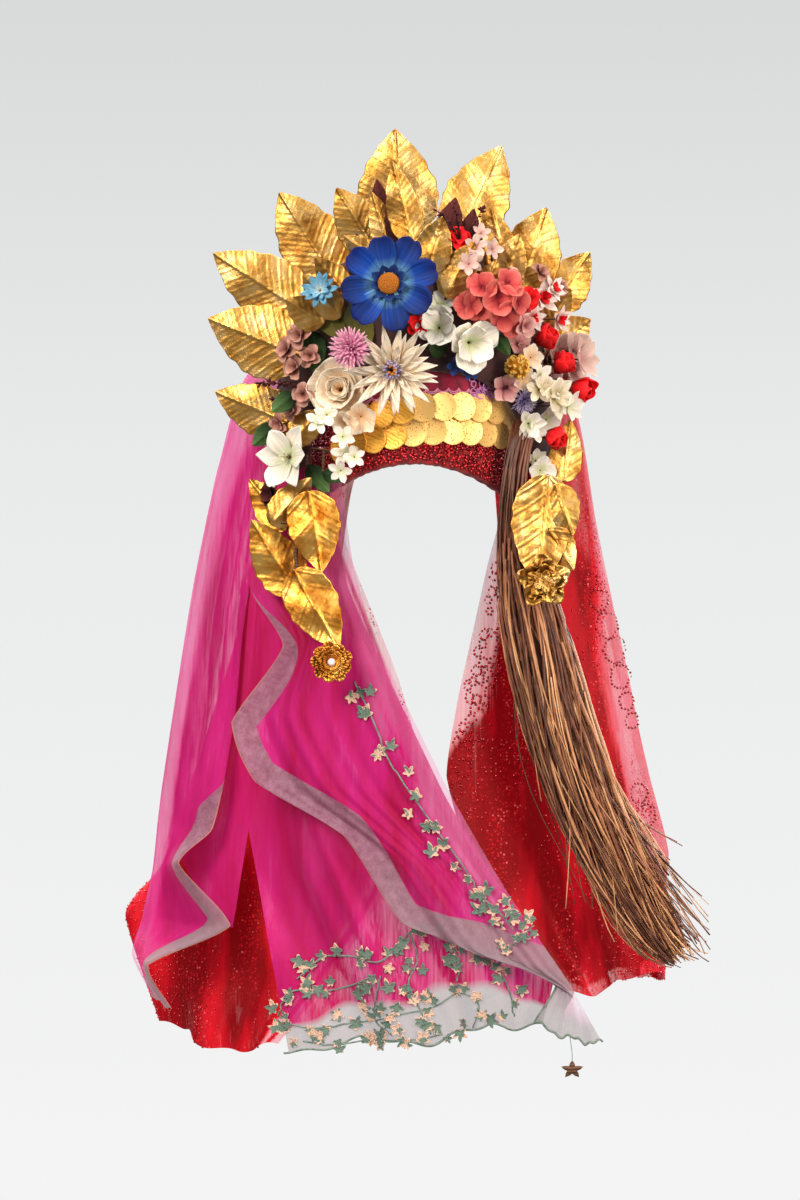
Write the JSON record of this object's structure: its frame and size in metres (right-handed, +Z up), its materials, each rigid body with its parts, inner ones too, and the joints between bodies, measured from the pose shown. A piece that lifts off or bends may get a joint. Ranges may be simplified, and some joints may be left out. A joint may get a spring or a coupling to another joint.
{
  "type": "bridal headdress",
  "caption": "Folk bridal headdress: sequinned cap with gilt coin rows, foil leaf crown, cloth flowers, foil pendants, a twig bundle and hanging magenta and red veils.",
  "frame": {"origin": "middle of the head opening, level with the brow, where the cap sits on a head", "axes": "+Z up, -Y out of the front of the headdress, +X to the viewer's right when it is seen from the front"},
  "size_m": [0.5104, 0.2928, 0.8295],
  "materials": {
    "sequin_cloth": "cloth covered with small glossy red sequins",
    "crimson_cloth": "matte printed cotton with pink lace at its edge",
    "maroon_cloth": "matte felt over padding",
    "gilt_coin": "stamped thin gilt sheet",
    "gold_foil": "crinkled shiny foil with embossed veins",
    "amber_foil": "crinkled shiny foil, more orange",
    "petal_blue": "dyed silk cloth",
    "petal_sky": "dyed silk cloth",
    "petal_white": "dyed silk cloth",
    "petal_coral": "dyed silk cloth",
    "petal_blush": "dyed silk cloth",
    "petal_red": "dyed silk cloth",
    "petal_cream": "dyed silk cloth",
    "petal_yellow": "dyed silk cloth",
    "petal_pink": "dyed silk cloth",
    "petal_peach": "dyed silk cloth",
    "petal_mauve": "dyed silk cloth",
    "petal_dried": "dyed silk cloth, brownish",
    "leaf_olive": "dyed stiff cloth",
    "stem_wire": "wire wound with brown paper tape",
    "twig": "bare dry twigs",
    "pink_organza": "sheer crisp organza with a silver ribbon border",
    "red_tulle": "sheer net with red sequins"
  },
  "bodies": {
    "root": {"cap": "sequin_cloth", "kerchief_band": "crimson_cloth", "crest_pad": "maroon_cloth", "coin_row_upper": "gilt_coin", "coin_row_lower": "gilt_coin", "crown_leaf_top": "gold_foil", "crown_leaf_top_front": "gold_foil", "crown_leaf_top_right": "gold_foil", "crown_leaf_top_left": "gold_foil", "crown_leaf_upper_left": "gold_foil", "crown_leaf_left": "gold_foil", "crown_leaf_mid_left": "gold_foil", "crown_leaf_low_left": "gold_foil", "crown_leaf_upper_right": "gold_foil", "crown_leaf_right": "gold_foil", "crown_leaf_low_right": "gold_foil", "crown_leaf_inner_right": "gold_foil", "crown_leaf_inner_left": "gold_foil", "blue_cosmos": "petal_blue", "sky_floret": "petal_sky", "white_freesia": "petal_white", "coral_florets": "petal_coral", "blush_bloom": "petal_blush", "pale_petals": "petal_blush", "rosebud_upper": "petal_red", "rosebud_middle": "petal_red", "rosebud_right": "petal_red", "rosebud_low": "petal_red", "cream_bloom": "petal_cream", "yellow_ball": "petal_yellow", "dusty_bloom": "petal_pink", "pink_bloom": "petal_pink", "peach_rose": "petal_peach", "mauve_mum": "petal_mauve", "cream_dahlia": "petal_cream", "blossom_upper": "petal_white", "blossom_lower": "petal_white", "white_lily": "petal_white", "dried_rose": "petal_dried", "blush_sprig": "petal_blush", "low_white_bloom": "petal_white", "olive_leaf": "leaf_olive", "left_pendant_wire": "stem_wire", "left_pendant_upper_leaf": "amber_foil", "left_pendant_side_leaf": "amber_foil", "left_pendant_lower_leaf": "amber_foil", "left_pendant_back_leaf": "amber_foil", "left_pendant_rosette": "amber_foil", "right_pendant_wire": "stem_wire", "right_pendant_upper_leaf": "amber_foil", "right_pendant_back_leaf": "amber_foil", "right_pendant_rosette": "amber_foil", "twig_bundle": "twig", "pink_veil_front": "pink_organza", "pink_veil_under": "pink_organza", "pink_veil_outer": "pink_organza", "red_veil_left": "red_tulle", "red_veil_right": "red_tulle"}
  },
  "joints": []
}
